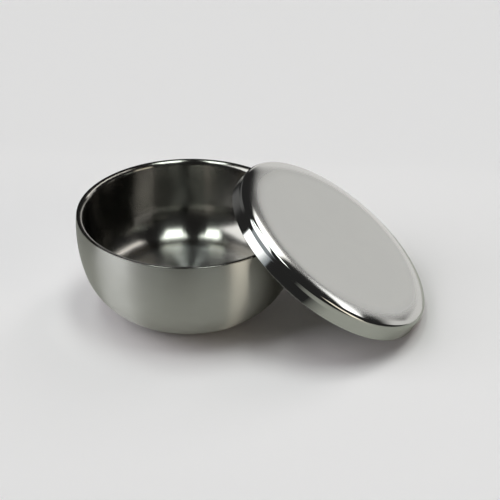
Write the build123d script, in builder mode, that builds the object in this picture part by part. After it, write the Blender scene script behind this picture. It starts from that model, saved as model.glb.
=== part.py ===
from build123d import *

import os
from math import atan2, cos, degrees, radians, sin, sqrt

# Shaving bowl of drawn stainless steel: an outer shell, an inner shell whose flange closes the
# pair at the rim, and a loose pressed lid that leans against the rim with its edge on the table.
# Millimetres, +Z up. The origin is the centre of the base, and the lid leans on the +X side.

# Outer shell
bowl_height = 50.5
waist_radius = 52.9  # widest place of the wall, a little below the rim
waist_height = 43.1
wall_arc_radius = 70.7  # gentle bulge of the wall
corner_arc_radius = 33.5  # large round corner between wall and base
base_drop = 0.6  # how far the base plane cuts into the corner arc
base_edge_radius = 5.0
outer_sheet = 0.6

# Inner shell
inner_sheet = 0.5
rim_radius = 52.5  # outside of the flange
lip_radius = 2.4  # roll from the flange down into the inner wall
flange_width = 0.8
flange_edge_round = 0.3
floor_height = 12.0  # top of the flat floor
floor_corner_radius = 16.0

# Lid
lid_radius = 53.9  # outside of the mouth
skirt_radius = 53.4  # outside of the upper, straight part of the skirt
flare_height = 4.7  # the lower part of the skirt opens out towards the mouth
lid_height = 9.4
lid_sheet = 0.5
shoulder_radius = 2.2  # tight bend at the top of the skirt
crown_radius = 30.0  # gentle bend from the flat top towards the shoulder
crown_turn = 14.0  # degrees turned by the gentle bend
lid_edge_round = 0.2

# How the lid leans
lean_angle = 35.0  # tilt of the lid's axis from the vertical
rim_gap = 0.2  # running room between the lid's inside and the rim


def outer_outline(inset, top):
    """Closed half outline of the outer shell, moved inwards by inset and cut off level at top."""
    wall_radius = wall_arc_radius - inset
    corner_radius = corner_arc_radius - inset
    wall_centre = (waist_radius - wall_arc_radius, waist_height)
    corner_height = corner_arc_radius - base_drop
    between_centres = wall_arc_radius - corner_arc_radius
    across = sqrt(between_centres**2 - (waist_height - corner_height) ** 2)
    corner_centre = (wall_centre[0] + across, corner_height)
    tangent_angle = degrees(atan2(waist_height - corner_height, across))
    rise = top - waist_height
    top_angle = degrees(atan2(rise, sqrt(wall_radius**2 - rise**2)))
    base_reach = sqrt(corner_radius**2 - (corner_height - inset) ** 2)
    base_angle = degrees(atan2(corner_height - inset, base_reach))
    base = Line((0, inset), (corner_centre[0] + base_reach, inset))
    CenterArc(corner_centre, corner_radius, -base_angle, base_angle - tangent_angle)
    wall = CenterArc(wall_centre, wall_radius, -tangent_angle, tangent_angle + top_angle)
    Polyline(wall @ 1, (0, top), base @ 0)


os.makedirs("parts", exist_ok=True)

# Outer shell: wall, round corner and base as one sheet, cut off level under the flange
with BuildPart() as outer_shell:
    with BuildSketch(Plane.XZ):
        with BuildLine():
            outer_outline(0, bowl_height - inner_sheet)
        make_face()
        with BuildLine():
            outer_outline(outer_sheet, bowl_height - inner_sheet)
        make_face(mode=Mode.SUBTRACT)
    revolve(axis=Axis.Z)
    fillet(outer_shell.faces().sort_by(Axis.Z)[0].edges(), base_edge_radius)
outer_shell.part.label = "outer_shell"
export_step(outer_shell.part, "parts/outer_shell.step")

# Inner shell: flat floor, round corner, straight wall, then a roll outwards into the flange,
# which lies on the top edge of the outer shell
lip_centre = (rim_radius - flange_width, bowl_height - lip_radius)
inner_wall_radius = lip_centre[0] - lip_radius
floor_corner_centre = (inner_wall_radius - floor_corner_radius, floor_height + floor_corner_radius)
with BuildPart() as inner_shell:
    with BuildSketch(Plane.XZ):
        with BuildLine():
            floor = Line((0, floor_height), (floor_corner_centre[0], floor_height))
            floor_corner = CenterArc(floor_corner_centre, floor_corner_radius, -90, 90)
            inner_wall = Line(floor_corner @ 1, (inner_wall_radius, lip_centre[1]))
            lip = CenterArc(lip_centre, lip_radius, 180, -90)
            flange = Line(lip @ 1, (rim_radius, bowl_height))
            offset(amount=inner_sheet, side=Side.RIGHT)
        make_face()
    revolve(axis=Axis.Z)
    flange_edges = inner_shell.edges().filter_by(GeomType.CIRCLE).group_by(Axis.Z)[-1]
    fillet(flange_edges.sort_by(SortBy.RADIUS)[-1], flange_edge_round)
inner_shell.part.label = "inner_shell"
export_step(inner_shell.part, "parts/inner_shell.step")

# Lid: the lowest point of its edge is on the table, and its inside is just clear of the rim
lean = radians(lean_angle)
flare_angle = atan2(lid_radius - skirt_radius, flare_height)
edge_round_centre = (
    lid_radius - lid_edge_round * (cos(flare_angle) + sin(flare_angle)),
    lid_edge_round * (cos(flare_angle) - sin(flare_angle)),
)
lid_centre_z = (
    lid_edge_round + edge_round_centre[0] * sin(lean) - edge_round_centre[1] * cos(lean)
)
rim_reach = (
    (rim_radius - flange_edge_round) * sin(lean)
    + (bowl_height - flange_edge_round) * cos(lean)
    + flange_edge_round
)
lid_depth = lid_height - lid_sheet
lid_centre_x = (rim_reach + rim_gap - lid_depth - lid_centre_z * cos(lean)) / sin(lean)
lid_centre = (lid_centre_x, 0, lid_centre_z)
lid_axis = Axis(lid_centre, (sin(lean), 0, cos(lean)))
lid_profile_plane = Plane(lid_centre, x_dir=(cos(lean), 0, -sin(lean)), z_dir=(0, -1, 0))

crown_turn_rad = radians(crown_turn)
shoulder_centre_x = skirt_radius - shoulder_radius
crown_centre = (
    shoulder_centre_x - (crown_radius - shoulder_radius) * sin(crown_turn_rad),
    lid_height - crown_radius,
)
shoulder_centre = (
    shoulder_centre_x,
    crown_centre[1] + (crown_radius - shoulder_radius) * cos(crown_turn_rad),
)
with BuildPart() as lid:
    with BuildSketch(lid_profile_plane):
        with BuildLine():
            flare = Line((lid_radius, 0), (skirt_radius, flare_height))
            Line(flare @ 1, (skirt_radius, shoulder_centre[1]))
            CenterArc(shoulder_centre, shoulder_radius, 0, 90 - crown_turn)
            crown = CenterArc(crown_centre, crown_radius, 90 - crown_turn, crown_turn)
            Line(crown @ 1, (0, lid_height))
            offset(amount=lid_sheet, side=Side.LEFT)
        make_face()
    revolve(axis=lid_axis)
    mouth_edges = lid.edges().filter_by(GeomType.CIRCLE).filter_by(
        lambda edge: (edge.arc_center - Vector(lid_centre)).length < lid_edge_round
    )
    fillet(mouth_edges, lid_edge_round)
lid.part.label = "lid"
export_step(lid.part, "parts/lid.step")
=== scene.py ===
from math import asin, atan2, cos, pi, radians, sin

import bpy
from mathutils import Matrix, Vector


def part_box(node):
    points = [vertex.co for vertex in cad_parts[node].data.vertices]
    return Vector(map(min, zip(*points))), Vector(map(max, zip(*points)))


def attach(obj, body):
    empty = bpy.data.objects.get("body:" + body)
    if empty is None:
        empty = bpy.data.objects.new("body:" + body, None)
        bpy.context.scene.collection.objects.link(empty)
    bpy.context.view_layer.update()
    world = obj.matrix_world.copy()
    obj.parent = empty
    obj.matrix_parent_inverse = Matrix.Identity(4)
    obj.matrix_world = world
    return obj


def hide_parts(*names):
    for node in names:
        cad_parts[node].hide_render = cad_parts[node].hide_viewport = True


# A lidded shaving bowl of stainless steel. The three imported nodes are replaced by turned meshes
# of the same shape, with exact normals, because polished steel shows every facet.
# Shapes are given in millimetres and turned into metres when the meshes are made.

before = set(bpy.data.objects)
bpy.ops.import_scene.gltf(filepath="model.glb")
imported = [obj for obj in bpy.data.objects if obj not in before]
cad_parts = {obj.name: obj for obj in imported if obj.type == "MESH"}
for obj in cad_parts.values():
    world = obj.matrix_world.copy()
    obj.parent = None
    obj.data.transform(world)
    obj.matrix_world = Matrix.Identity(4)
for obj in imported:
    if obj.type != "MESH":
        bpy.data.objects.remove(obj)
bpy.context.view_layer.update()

MM = 0.001
AROUND = 256  # mesh segments in a full turn

# ---------------------------------------------------------------- sizes read from the frame
shell_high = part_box("outer_shell")[1]
liner_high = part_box("inner_shell")[1]
lid_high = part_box("lid")[1]
waist_radius = shell_high.x / MM
rim_radius = liner_high.x / MM
bowl_height = liner_high.z / MM

# ---------------------------------------------------------------- sizes of the bowl
waist_height = 43.1
wall_arc_radius = 70.7
corner_arc_radius = 33.5
base_drop = 0.6
base_edge_radius = 5.0
outer_sheet = 0.6
inner_sheet = 0.5
lip_radius = 2.4
flange_width = 0.8
flange_edge_round = 0.3
floor_height = 12.0
floor_corner_radius = 16.0
cut_edge_round = 0.06  # broken edge wherever the sheet was cut

# ---------------------------------------------------------------- sizes of the lid
lean = radians(35.0)
lid_radius = 53.9
skirt_radius = 53.4
flare_height = 4.7
flare_blend_radius = 3.0
lid_height = 9.4
lid_sheet = 0.5
shoulder_radius = 2.2
crown_radius = 30.0
crown_turn = radians(14.0)
lid_edge_round = 0.2


# ---------------------------------------------------------------- turned meshes
class Outline:
    """A half outline of points with the direction straight out of the surface at each point.
    It is drawn so that the surface's outside is on the right-hand side of the way it runs."""

    def __init__(self):
        self.points = []
        self.normals = []

    def add(self, point, normal):
        if self.points and (Vector(point) - Vector(self.points[-1])).length < 1e-6:
            return
        self.points.append(tuple(point))
        self.normals.append(tuple(normal))

    def distances(self):
        """How far along the outline each point is, in metres."""
        found = [0.0]
        for before, after in zip(self.points, self.points[1:]):
            found.append(found[-1] + (Vector(after) - Vector(before)).length * MM)
        return found

    def length(self):
        """How far the outline has come, in metres."""
        return self.distances()[-1]

    def line(self, start, end, steps=1):
        along = (Vector(end) - Vector(start)).normalized()
        normal = (along.y, -along.x)
        for step in range(steps + 1):
            self.add(Vector(start).lerp(Vector(end), step / steps), normal)

    def arc(self, centre, radius, start, end, steps, hollow=False):
        """An arc from angle start to angle end. A hollow arc faces its own centre."""
        side = -1 if hollow else 1
        for step in range(steps + 1):
            angle = start + (end - start) * step / steps
            out = (cos(angle), sin(angle))
            point = (centre[0] + radius * out[0], centre[1] + radius * out[1])
            self.add(point, (side * out[0], side * out[1]))


def turned_points(outline, place):
    """The points and normals of a revolved outline, and each ring's first point and point count.
    A point of the outline that is on the axis makes a ring of one point."""
    turn_matrix = place.to_3x3()
    verts, normals, rings = [], [], []
    for (radius, height), (out, up) in zip(outline.points, outline.normals):
        count = 1 if radius < 1e-6 else AROUND
        rings.append((len(verts), count))
        for segment in range(count):
            angle = 2 * pi * segment / AROUND
            across = Vector((cos(angle), sin(angle), 0))
            verts.append(place @ ((across * radius + Vector((0, 0, height))) * MM))
            tilt = 0.0 if count == 1 else out
            normals.append((turn_matrix @ (across * tilt + Vector((0, 0, up)))).normalized())
    return verts, normals, rings


def turned_faces(rings, distances):
    """The faces between the rings, and for each face its corners' places in the UV map."""
    faces, uvs = [], []
    for ring in range(len(rings) - 1):
        (low, low_count), (high, high_count) = rings[ring], rings[ring + 1]
        v_low, v_high = distances[ring], distances[ring + 1]
        for segment in range(AROUND):
            following = (segment + 1) % AROUND
            u0, u1 = segment / AROUND, (segment + 1) / AROUND
            middle = (u0 + u1) / 2
            if low_count == 1:
                faces.append((low, high + following, high + segment))
                uvs.append(((middle, v_low), (u1, v_high), (u0, v_high)))
            elif high_count == 1:
                faces.append((low + segment, low + following, high))
                uvs.append(((u0, v_low), (u1, v_low), (middle, v_high)))
            else:
                faces.append((low + segment, low + following, high + following, high + segment))
                uvs.append(((u0, v_low), (u1, v_low), (u1, v_high), (u0, v_high)))
    return faces, uvs


def turned_piece(name, outline, material, body, node, place=None):
    """Revolves a closed half outline, whose ends are on the axis, into a solid mesh.
    Its UV map holds the share of a turn and the distance along the outline in metres."""
    verts, normals, rings = turned_points(outline, place or Matrix.Identity(4))
    faces, uvs = turned_faces(rings, outline.distances())
    mesh = bpy.data.meshes.new(name)
    mesh.from_pydata(verts, [], faces)
    layer = mesh.uv_layers.new(name="turning")
    flat = [value for face in uvs for corner in face for value in corner]
    layer.data.foreach_set("uv", flat)
    mesh.polygons.foreach_set("use_smooth", [True] * len(faces))
    mesh.normals_split_custom_set_from_vertices(normals)
    mesh.materials.append(material)
    piece = bpy.data.objects.new(name, mesh)
    bpy.context.scene.collection.objects.link(piece)
    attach(piece, body)
    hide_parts(node)
    return piece


# ---------------------------------------------------------------- steel
GROOVE_DEPTH = 0.00002  # metres
# near-white that a zone's colour is painted towards, a painted sheen
PAINTED_SHEEN_WHITE = (0.9, 0.9, 0.88, 1)


class Shader:
    """A small helper that adds nodes to one material and joins them."""

    def __init__(self, name):
        self.material = bpy.data.materials.new(name)
        self.material.use_nodes = True
        self.tree = self.material.node_tree
        self.tree.nodes.clear()
        self.surface = self.node("ShaderNodeBsdfPrincipled")
        output = self.node("ShaderNodeOutputMaterial")
        self.join(self.surface.outputs["BSDF"], output.inputs["Surface"])

    def node(self, kind, **settings):
        made = self.tree.nodes.new(kind)
        for key, value in settings.items():
            setattr(made, key, value)
        return made

    def join(self, source, target):
        self.tree.links.new(source, target)

    def feed(self, target, value):
        """Joins an output to an input, or sets a plain value."""
        if isinstance(value, bpy.types.NodeSocket):
            self.join(value, target)
        else:
            target.default_value = value

    def math(self, operation, first, second=0.0):
        made = self.node("ShaderNodeMath", operation=operation)
        self.feed(made.inputs[0], first)
        self.feed(made.inputs[1], second)
        return made.outputs[0]

    def spread(self, value, low, high, new_low, new_high):
        """Stretches a value from one range to another, and holds it at the ends."""
        made = self.node("ShaderNodeMapRange", clamp=True)
        self.feed(made.inputs["Value"], value)
        for name, number in (
            ("From Min", low),
            ("From Max", high),
            ("To Min", new_low),
            ("To Max", new_high),
        ):
            self.feed(made.inputs[name], number)
        return made.outputs["Result"]

    def mix(self, share, first, second):
        made = self.node("ShaderNodeMix", data_type="RGBA")
        self.feed(made.inputs["Factor"], share)
        self.feed(made.inputs[6], first)
        self.feed(made.inputs[7], second)
        return made.outputs[2]

    def turning(self):
        """The share of a turn and the distance along the outline, from the piece's UV map."""
        uv = self.node("ShaderNodeUVMap", uv_map="turning")
        split = self.node("ShaderNodeSeparateXYZ")
        self.join(uv.outputs["UV"], split.inputs["Vector"])
        return split.outputs["X"], split.outputs["Y"]

    def streak_place(self, turn, along, around, across):
        """A place for noise, with no seam. The more it moves round the piece or across the
        brushing, the finer the noise is that way."""
        angle = self.math("MULTIPLY", turn, 2 * pi)
        place = self.node("ShaderNodeCombineXYZ")
        self.feed(place.inputs["X"], self.math("MULTIPLY", self.math("COSINE", angle), around))
        self.feed(place.inputs["Y"], self.math("MULTIPLY", self.math("SINE", angle), around))
        self.feed(place.inputs["Z"], self.math("MULTIPLY", along, across))
        return place.outputs["Vector"]

    def noise(self, place, detail, roughness):
        made = self.node("ShaderNodeTexNoise", noise_dimensions="3D")
        self.join(place, made.inputs["Vector"])
        made.inputs["Scale"].default_value = 1.0
        made.inputs["Detail"].default_value = detail
        made.inputs["Roughness"].default_value = roughness
        return made.outputs["Fac"]

    def bump(self, height, strength, before=None):
        made = self.node("ShaderNodeBump")
        made.inputs["Strength"].default_value = strength
        made.inputs["Distance"].default_value = GROOVE_DEPTH
        self.join(height, made.inputs["Height"])
        if before is not None:
            self.join(before, made.inputs["Normal"])
        return made.outputs["Normal"]


def turned_steel(
    name, light, dark, rough, brushed, anisotropy, lines, mottle, groove,
    zone=None, bright=0.0, chatter=0.0,
):
    """Steel brushed round its axis: fine lines, slow mottling and a tangent that follows the turn.
    Lines and mottle are cells to the metre across the brushing."""
    shader = Shader(name)
    turn, along = shader.turning()
    fine = shader.noise(shader.streak_place(turn, along, 5.0, lines), 4.0, 0.65)
    slow = shader.noise(shader.streak_place(turn, along, 2.6, mottle), 2.0, 0.5)
    colour = shader.mix(shader.spread(slow, 0.3, 0.7, 0.0, 1.0), dark, light)
    roughness = shader.math(
        "ADD",
        shader.spread(fine, 0.25, 0.75, rough - brushed, rough + brushed),
        shader.spread(slow, 0.3, 0.7, -brushed * 0.5, brushed * 0.5),
    )
    if zone:
        # from one distance along the outline to another the finish gets rougher, and its colour is
        # painted paler there, a painted sheen
        start, end, more = zone
        share = shader.spread(along, start, end, 0.0, 1.0)
        roughness = shader.math("ADD", roughness, shader.math("MULTIPLY", share, more))
        colour = shader.mix(shader.math("MULTIPLY", share, bright), colour, PAINTED_SHEEN_WHITE)
    relief = shader.bump(fine, groove)
    if chatter:
        # shallow waves left by the spinning tool, which run from the middle outwards
        waves = shader.noise(shader.streak_place(turn, along, 18.0, 40.0), 2.0, 0.5)
        relief = shader.bump(waves, chatter, relief)
    tangent = shader.node("ShaderNodeTangent", direction_type="UV_MAP", uv_map="turning")
    inputs = shader.surface.inputs
    shader.join(colour, inputs["Base Color"])
    shader.join(roughness, inputs["Roughness"])
    shader.join(relief, inputs["Normal"])
    shader.join(tangent.outputs["Tangent"], inputs["Tangent"])
    inputs["Metallic"].default_value = 1.0
    inputs["Anisotropic"].default_value = anisotropy
    # a quarter turn lays the blur across the brushed lines
    inputs["Anisotropic Rotation"].default_value = 0.25
    return shader.material


# ---------------------------------------------------------------- outer shell
shell_top = bowl_height - inner_sheet
wall_centre = (waist_radius - wall_arc_radius, waist_height)
corner_height = corner_arc_radius - base_drop
between_centres = wall_arc_radius - corner_arc_radius
wall_tangent = asin((waist_height - corner_height) / between_centres)
corner_centre = (wall_centre[0] + between_centres * cos(wall_tangent), corner_height)
edge_reach = corner_arc_radius - base_edge_radius
edge_tangent = asin((corner_height - base_edge_radius) / edge_reach)
edge_centre = (corner_centre[0] + edge_reach * cos(edge_tangent), base_edge_radius)


def shell_arcs(inset):
    """The base edge, round corner and bulging wall, moved inwards by inset, from the base up."""
    top_angle = asin((shell_top - waist_height) / (wall_arc_radius - inset))
    return [
        (edge_centre, base_edge_radius - inset, -pi / 2, -edge_tangent, 6),
        (corner_centre, corner_arc_radius - inset, -edge_tangent, -wall_tangent, 40),
        (wall_centre, wall_arc_radius - inset, -wall_tangent, top_angle, 20),
    ]


outer = Outline()
outer.line((0, 0), (edge_centre[0], 0), 6)
for centre, radius, start, end, steps in shell_arcs(0.0):
    outer.arc(centre, radius, start, end, steps)
wall_top = outer.points[-1][0]
outer.line((wall_top, shell_top), (wall_top - outer_sheet, shell_top))
for centre, radius, start, end, steps in reversed(shell_arcs(outer_sheet)):
    outer.arc(centre, radius, end, start, steps, hollow=True)
outer.line((edge_centre[0], outer_sheet), (0, outer_sheet), 6)

outside_steel = turned_steel(
    "satin_outside", light=(0.60, 0.59, 0.565, 1), dark=(0.56, 0.55, 0.525, 1),
    rough=0.36, brushed=0.03, anisotropy=1.0, lines=4500.0, mottle=60.0, groove=0.10,
)
turned_piece("bowl_outside", outer, outside_steel, "bowl", "outer_shell")

# ---------------------------------------------------------------- inner shell
lip_centre = (rim_radius - flange_width, bowl_height - lip_radius)
liner_radius = lip_centre[0] - lip_radius
floor_corner = (liner_radius - floor_corner_radius, floor_height + floor_corner_radius)
liner_back = liner_radius + inner_sheet
under = floor_height - inner_sheet
cut_edge = (rim_radius - cut_edge_round, shell_top + cut_edge_round)
flange_edge = (rim_radius - flange_edge_round, bowl_height - flange_edge_round)
liner = Outline()
liner.line((0, under), (floor_corner[0], under), 6)
liner.arc(floor_corner, floor_corner_radius + inner_sheet, -pi / 2, 0, 24)
liner.line((liner_back, floor_corner[1]), (liner_back, lip_centre[1]), 6)
liner.arc(lip_centre, lip_radius - inner_sheet, pi, pi / 2, 10, hollow=True)
liner.line((lip_centre[0], shell_top), (cut_edge[0], shell_top), 2)
liner.arc(cut_edge, cut_edge_round, -pi / 2, 0, 3)
liner.arc(flange_edge, flange_edge_round, 0, pi / 2, 8)
liner.line((flange_edge[0], bowl_height), (lip_centre[0], bowl_height), 2)
liner.arc(lip_centre, lip_radius, pi / 2, pi, 16)
liner.line((liner_radius, lip_centre[1]), (liner_radius, floor_corner[1]), 12)
liner.arc(floor_corner, floor_corner_radius, 0, -pi / 2, 40, hollow=True)
floor_starts = liner.length()
liner.line((floor_corner[0], floor_height), (0, floor_height), 16)

# the inside steel is painted much darker than the outside steel, a painted shade of the hollow;
# towards and on the floor its colour is painted paler again, a painted sheen, and it is rougher
# there
inside_steel_painted_shade_and_sheen = turned_steel(
    "spun_inside_painted_shade_and_sheen", light=(0.33, 0.32, 0.295, 1), dark=(0.29, 0.28, 0.26, 1),
    rough=0.16, brushed=0.02, anisotropy=1.0, lines=3500.0, mottle=80.0, groove=0.04,
    zone=(floor_starts - 0.003, floor_starts + 0.002, 0.07), bright=0.4, chatter=1.0,
)
turned_piece("bowl_inside", liner, inside_steel_painted_shade_and_sheen, "bowl", "inner_shell")

# ---------------------------------------------------------------- lid
flare_angle = atan2(lid_radius - skirt_radius, flare_height)
shoulder_x = skirt_radius - shoulder_radius
crown_centre = (
    shoulder_x - (crown_radius - shoulder_radius) * sin(crown_turn),
    lid_height - crown_radius,
)
shoulder_centre = (shoulder_x, crown_centre[1] + (crown_radius - shoulder_radius) * cos(crown_turn))
# where the rounded mouth edge has its two arc centres, one on each face of the sheet
edge_out = (
    lid_radius - lid_edge_round * (cos(flare_angle) + sin(flare_angle)),
    lid_edge_round * (cos(flare_angle) - sin(flare_angle)),
)
edge_in = (
    edge_out[0] - (lid_sheet - 2 * lid_edge_round) * cos(flare_angle),
    edge_out[1] - (lid_sheet - 2 * lid_edge_round) * sin(flare_angle),
)
# the skirt bends outwards about this centre, which is outside the lid
blend = flare_blend_radius
blend_half = blend * (1 - cos(flare_angle)) / sin(flare_angle)
blend_centre = (skirt_radius + blend, flare_height + blend_half)
inner_top = lid_height - lid_sheet
cap = Outline()
cap.line((0, inner_top), (crown_centre[0], inner_top), 16)
cap.arc(crown_centre, crown_radius - lid_sheet, pi / 2, pi / 2 - crown_turn, 8, hollow=True)
cap.arc(shoulder_centre, shoulder_radius - lid_sheet, pi / 2 - crown_turn, 0, 12, hollow=True)
cap.arc(blend_centre, blend + lid_sheet, pi, pi + flare_angle, 4)
cap.arc(edge_in, lid_edge_round, pi + flare_angle, 1.5 * pi + flare_angle, 6)
cap.arc(edge_out, lid_edge_round, -pi / 2 + flare_angle, flare_angle, 6)
cap.arc(blend_centre, blend, pi + flare_angle, pi, 4, hollow=True)
cap.arc(shoulder_centre, shoulder_radius, 0, pi / 2 - crown_turn, 24)
crown_starts = cap.length()
cap.arc(crown_centre, crown_radius, pi / 2 - crown_turn, pi / 2, 16)
crown_ends = cap.length()
cap.line((crown_centre[0], lid_height), (0, lid_height), 24)

# the lid's crown and top are painted paler than its skirt, a painted sheen, and are rougher there
lid_steel = turned_steel(
    "polished_lid", light=(0.53, 0.53, 0.505, 1), dark=(0.50, 0.50, 0.48, 1),
    rough=0.06, brushed=0.015, anisotropy=0.0, lines=2500.0, mottle=50.0, groove=0.006,
    zone=(crown_starts + 0.0005, crown_ends + 0.003, 0.40), bright=0.5,
)

# the lid stands on its mouth's low edge, and its shoulder reaches the frame's far side
shoulder_reach = shoulder_x * cos(lean) + shoulder_centre[1] * sin(lean) + shoulder_radius
lid_centre = Vector((
    lid_high.x - shoulder_reach * MM,
    0.0,
    (lid_edge_round + edge_out[0] * sin(lean) - edge_out[1] * cos(lean)) * MM,
))
lid_place = Matrix.Translation(lid_centre) @ Matrix.Rotation(lean, 4, "Y")
turned_piece("lid_cap", cap, lid_steel, "lid", "lid", lid_place)

# ---------------------------------------------------------------- camera
view_lens = 122.4
view_turn = radians(5.424)
view_tilt = radians(30.65)
view_roll = radians(0.272)
view_distance = 0.8063
view_target = Vector((0.0292, 0.0, 0.03064))
back = Vector((sin(view_turn) * cos(view_tilt), -cos(view_turn) * cos(view_tilt), sin(view_tilt)))
camera_data = bpy.data.cameras.new("camera")
camera_data.lens = view_lens
camera_data.sensor_width = 36.0
camera_data.clip_start = 0.01
camera = bpy.data.objects.new("camera", camera_data)
bpy.context.scene.collection.objects.link(camera)
camera.rotation_mode = "QUATERNION"
aim = (-back).to_track_quat("-Z", "Y") @ Matrix.Rotation(view_roll, 3, "Z").to_quaternion()
camera.rotation_quaternion = aim
camera.location = view_target + back * view_distance
bpy.context.scene.camera = camera


# ---------------------------------------------------------------- floor
def plain_material(name, colour, roughness, fade=None):
    """An even colour. Where fade gives two values of Y, it goes from black to the colour there."""
    nearly_black = (0.02, 0.02, 0.02, 1)
    shader = Shader(name)
    shader.surface.inputs["Base Color"].default_value = colour
    shader.surface.inputs["Roughness"].default_value = roughness
    if fade:
        place = shader.node("ShaderNodeTexCoord").outputs["Object"]
        parts = shader.node("ShaderNodeSeparateXYZ")
        shader.join(place, parts.inputs["Vector"])
        share = shader.spread(parts.outputs["Y"], *fade, 0.0, 1.0)
        faded = shader.mix(share, nearly_black, colour)
        shader.join(faded, shader.surface.inputs["Base Color"])
    return shader.material


def sheet(name, low, high, height, material):
    """A level oblong sheet that isn't part of the object, from its low corner to its high one."""
    mesh = bpy.data.meshes.new(name)
    corners = [(low[0], low[1]), (high[0], low[1]), (high[0], high[1]), (low[0], high[1])]
    mesh.from_pydata([(x, y, height) for x, y in corners], [], [(0, 1, 2, 3)])
    mesh.materials.append(material)
    made = bpy.data.objects.new(name, mesh)
    bpy.context.scene.collection.objects.link(made)
    return made


floor_paper = plain_material("floor_paper", (0.95, 0.90, 0.92, 1), 0.7)
floor = sheet("floor", (-4.0, -4.0), (4.0, 4.0), 0.0, floor_paper)
floor.visible_glossy = False
# the steel reflects a darker, slightly shiny table top instead of the pale floor
table_top = plain_material("table_top", (0.66, 0.65, 0.60, 1), 0.35, fade=(-0.24, -0.12))
above_floor = 0.00002
table = sheet("table", (-0.30, -0.24), (0.38, 0.15), above_floor, table_top)
table.visible_camera = False
table.visible_diffuse = False
table.visible_shadow = False


# ---------------------------------------------------------------- light
def direction(azimuth, elevation):
    """A unit vector. Azimuth 0 is straight behind the object and 90 is on its right."""
    a, e = radians(azimuth), radians(elevation)
    return Vector((sin(a) * cos(e), cos(a) * cos(e), sin(e)))


def ceiling(right, behind):
    """The direction of a place on the ceiling, in units of the ceiling's height."""
    return Vector((right, behind, 1)).normalized()


class Room:
    """The studio round the object: an even dim room with flat soft-edged panels far away in it."""

    def __init__(self, colour):
        self.world = bpy.data.worlds.new("studio")
        self.world.use_nodes = True
        self.tree = self.world.node_tree
        self.place = self.tree.nodes.new("ShaderNodeTexCoord").outputs["Generated"]
        self.colour = self.tree.nodes.new("ShaderNodeRGB").outputs[0]
        self.colour.default_value = (*colour, 1)

    def math(self, operation, first, second=0.0):
        made = self.tree.nodes.new("ShaderNodeMath")
        made.operation = operation
        self.tree.links.new(first, made.inputs[0])
        if isinstance(second, bpy.types.NodeSocket):
            self.tree.links.new(second, made.inputs[1])
        else:
            made.inputs[1].default_value = second
        return made.outputs[0]

    def along(self, vector):
        """How far the looked-at direction goes along a vector."""
        made = self.tree.nodes.new("ShaderNodeVectorMath")
        made.operation = "DOT_PRODUCT"
        self.tree.links.new(self.place, made.inputs[0])
        made.inputs[1].default_value = vector
        return made.outputs["Value"]

    def inside(self, value, half, edge):
        """1 where the value is within half of zero, falling to 0 over the soft edge."""
        made = self.tree.nodes.new("ShaderNodeMapRange")
        made.interpolation_type = "SMOOTHSTEP"
        self.tree.links.new(self.math("ABSOLUTE", value), made.inputs["Value"])
        made.inputs["From Min"].default_value = half - edge
        made.inputs["From Max"].default_value = half + edge
        made.inputs["To Min"].default_value = 1.0
        made.inputs["To Max"].default_value = 0.0
        return made.outputs["Result"]

    def panel(self, way, width, height, colour, edge, side=None):
        """A panel that faces the object, in front of the panels before it. Its sizes are in units
        of its distance, and its width runs along side, or level where side isn't given."""
        side = side or way.cross(Vector((0, 0, 1)))
        side = (side - way * side.dot(way)).normalized()
        up = side.cross(way)
        ahead = self.along(way)
        across = self.inside(self.math("DIVIDE", self.along(side), ahead), width / 2, edge)
        upright = self.inside(self.math("DIVIDE", self.along(up), ahead), height / 2, edge)
        in_front = self.math("GREATER_THAN", ahead, 0.0)
        mask = self.math("MULTIPLY", self.math("MULTIPLY", across, upright), in_front)
        mix = self.tree.nodes.new("ShaderNodeMix")
        mix.data_type = "RGBA"
        self.tree.links.new(mask, mix.inputs["Factor"])
        self.tree.links.new(self.colour, mix.inputs[6])
        mix.inputs[7].default_value = (*colour, 1)
        self.colour = mix.outputs[2]

    def finish(self):
        background = self.tree.nodes["Background"]
        self.tree.links.new(self.colour, background.inputs["Color"])
        bpy.context.scene.world = self.world


def grey(value, warmth=0.0):
    """A brightness with a little more red than blue, or the other way for a negative warmth."""
    return (value * (1 + warmth), value, value * (1 - warmth))


lamp_white = (5.8, 6.4, 6.1)
warm_card = (1.9, 1.78, 1.5)
room = Room(grey(0.03))
# dim far wall on the left
room.panel(direction(-45, 2), 0.60, 0.30, grey(0.16), 0.12)
# pale backdrop, which the top of the lid reflects
room.panel(direction(22, -2), 1.15, 0.62, grey(0.92, 0.01), 0.06)
# window on the left, with a bluish wall below it
room.panel(direction(-107, 12), 0.68, 0.30, grey(0.50, -0.08), 0.03)
room.panel(direction(-106, 38), 0.70, 0.84, grey(2.8, -0.02), 0.03)
# warm upright card on the right
room.panel(direction(122, 14), 0.32, 0.80, warm_card, 0.05)
# two long greenish lamps overhead, one on each side of the bowl
room.panel(ceiling(0.15, 0.02), 0.60, 0.20, lamp_white, 0.03, Vector((-0.25, 0.86, 0)))
room.panel(ceiling(-0.25, -0.02), 0.60, 0.16, lamp_white, 0.03, Vector((0.17, 0.86, 0)))
# two lamps further back on the right, which draw the streaks on the lid's shoulder
room.panel(ceiling(0.60, 0.76), 0.66, 0.17, grey(3.2, 0.02), 0.02, Vector((0.40, 0.92, 0)))
room.panel(direction(46, 23), 0.26, 0.09, grey(2.6), 0.015, Vector((0.85, -0.5, 0.3)))
# small dark gap in the backdrop
room.panel(direction(38, 9), 0.14, 0.06, grey(0.02), 0.02)
room.finish()
bpy.context.scene.view_settings.view_transform = "Standard"
